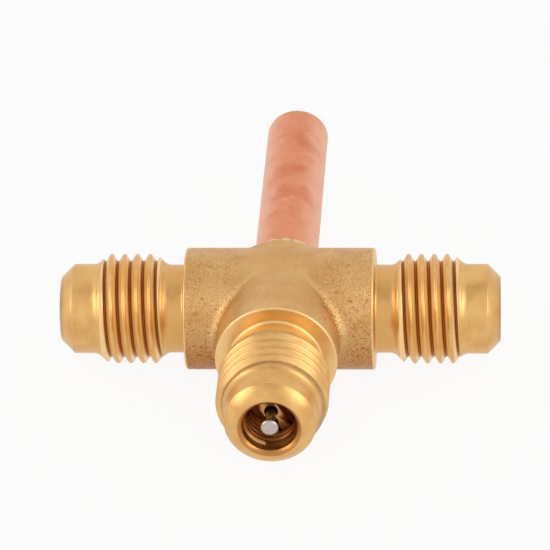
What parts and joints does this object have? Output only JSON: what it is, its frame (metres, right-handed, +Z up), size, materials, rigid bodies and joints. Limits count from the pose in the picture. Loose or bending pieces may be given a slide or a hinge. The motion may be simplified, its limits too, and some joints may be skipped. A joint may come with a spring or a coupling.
{
  "type": "refrigerant service valve",
  "caption": "Cross-shaped brass refrigerant service valve with male flare ports on three arms, spring-closed valve cores in them and a copper tube stub brazed into the back.",
  "frame": {"origin": "on the plane the valve lies on, under the middle of its bounding box; the port axes cross at x 0, y -0.0065, z 0.00605", "axes": "+Y along the copper stub, away from the front port; +X to the right port; +Z up, square to all four arms"},
  "size_m": [0.0436, 0.0574, 0.0121],
  "materials": {
    "forged_brass": "fine granular forged skin, satin where turned",
    "turned_brass": "bright turned",
    "copper": "matte drawn copper, blotched",
    "braze_alloy": "rough pale braze",
    "pin_steel": "nickel plated, satin",
    "spring_steel": "drawn wire",
    "white_ptfe": "matte",
    "black_rubber": "matte"
  },
  "bodies": {
    "valve": {"valve_body": "forged_brass", "stub_tube": "copper", "braze_fillet": "braze_alloy", "front_core_plug": "turned_brass", "front_core_barrel": "turned_brass", "front_barrel_seal": "white_ptfe", "front_spring": "spring_steel", "left_core_plug": "turned_brass", "left_core_barrel": "turned_brass", "left_barrel_seal": "white_ptfe", "left_spring": "spring_steel", "right_core_plug": "turned_brass", "right_core_barrel": "turned_brass", "right_barrel_seal": "white_ptfe", "right_spring": "spring_steel"},
    "front_pin_group": {"front_pin": "pin_steel", "front_seat_cup": "pin_steel", "front_cup_seal": "black_rubber"},
    "left_pin_group": {"left_pin": "pin_steel", "left_seat_cup": "pin_steel", "left_cup_seal": "black_rubber"},
    "right_pin_group": {"right_pin": "pin_steel", "right_seat_cup": "pin_steel", "right_cup_seal": "black_rubber"}
  },
  "joints": [
    {"name": "front_pin_press", "type": "slide", "parent": "valve", "child": "front_pin_group", "axis": [0, 1, 0], "range_m": [0, 0.0012], "stiffness_N_per_m": 1500, "deforming": ["front_spring"]},
    {"name": "left_pin_press", "type": "slide", "parent": "valve", "child": "left_pin_group", "axis": [1, 0, 0], "range_m": [0, 0.0012], "stiffness_N_per_m": 1500, "deforming": ["left_spring"]},
    {"name": "right_pin_press", "type": "slide", "parent": "valve", "child": "right_pin_group", "axis": [-1, 0, 0], "range_m": [0, 0.0012], "stiffness_N_per_m": 1500, "deforming": ["right_spring"]}
  ]
}
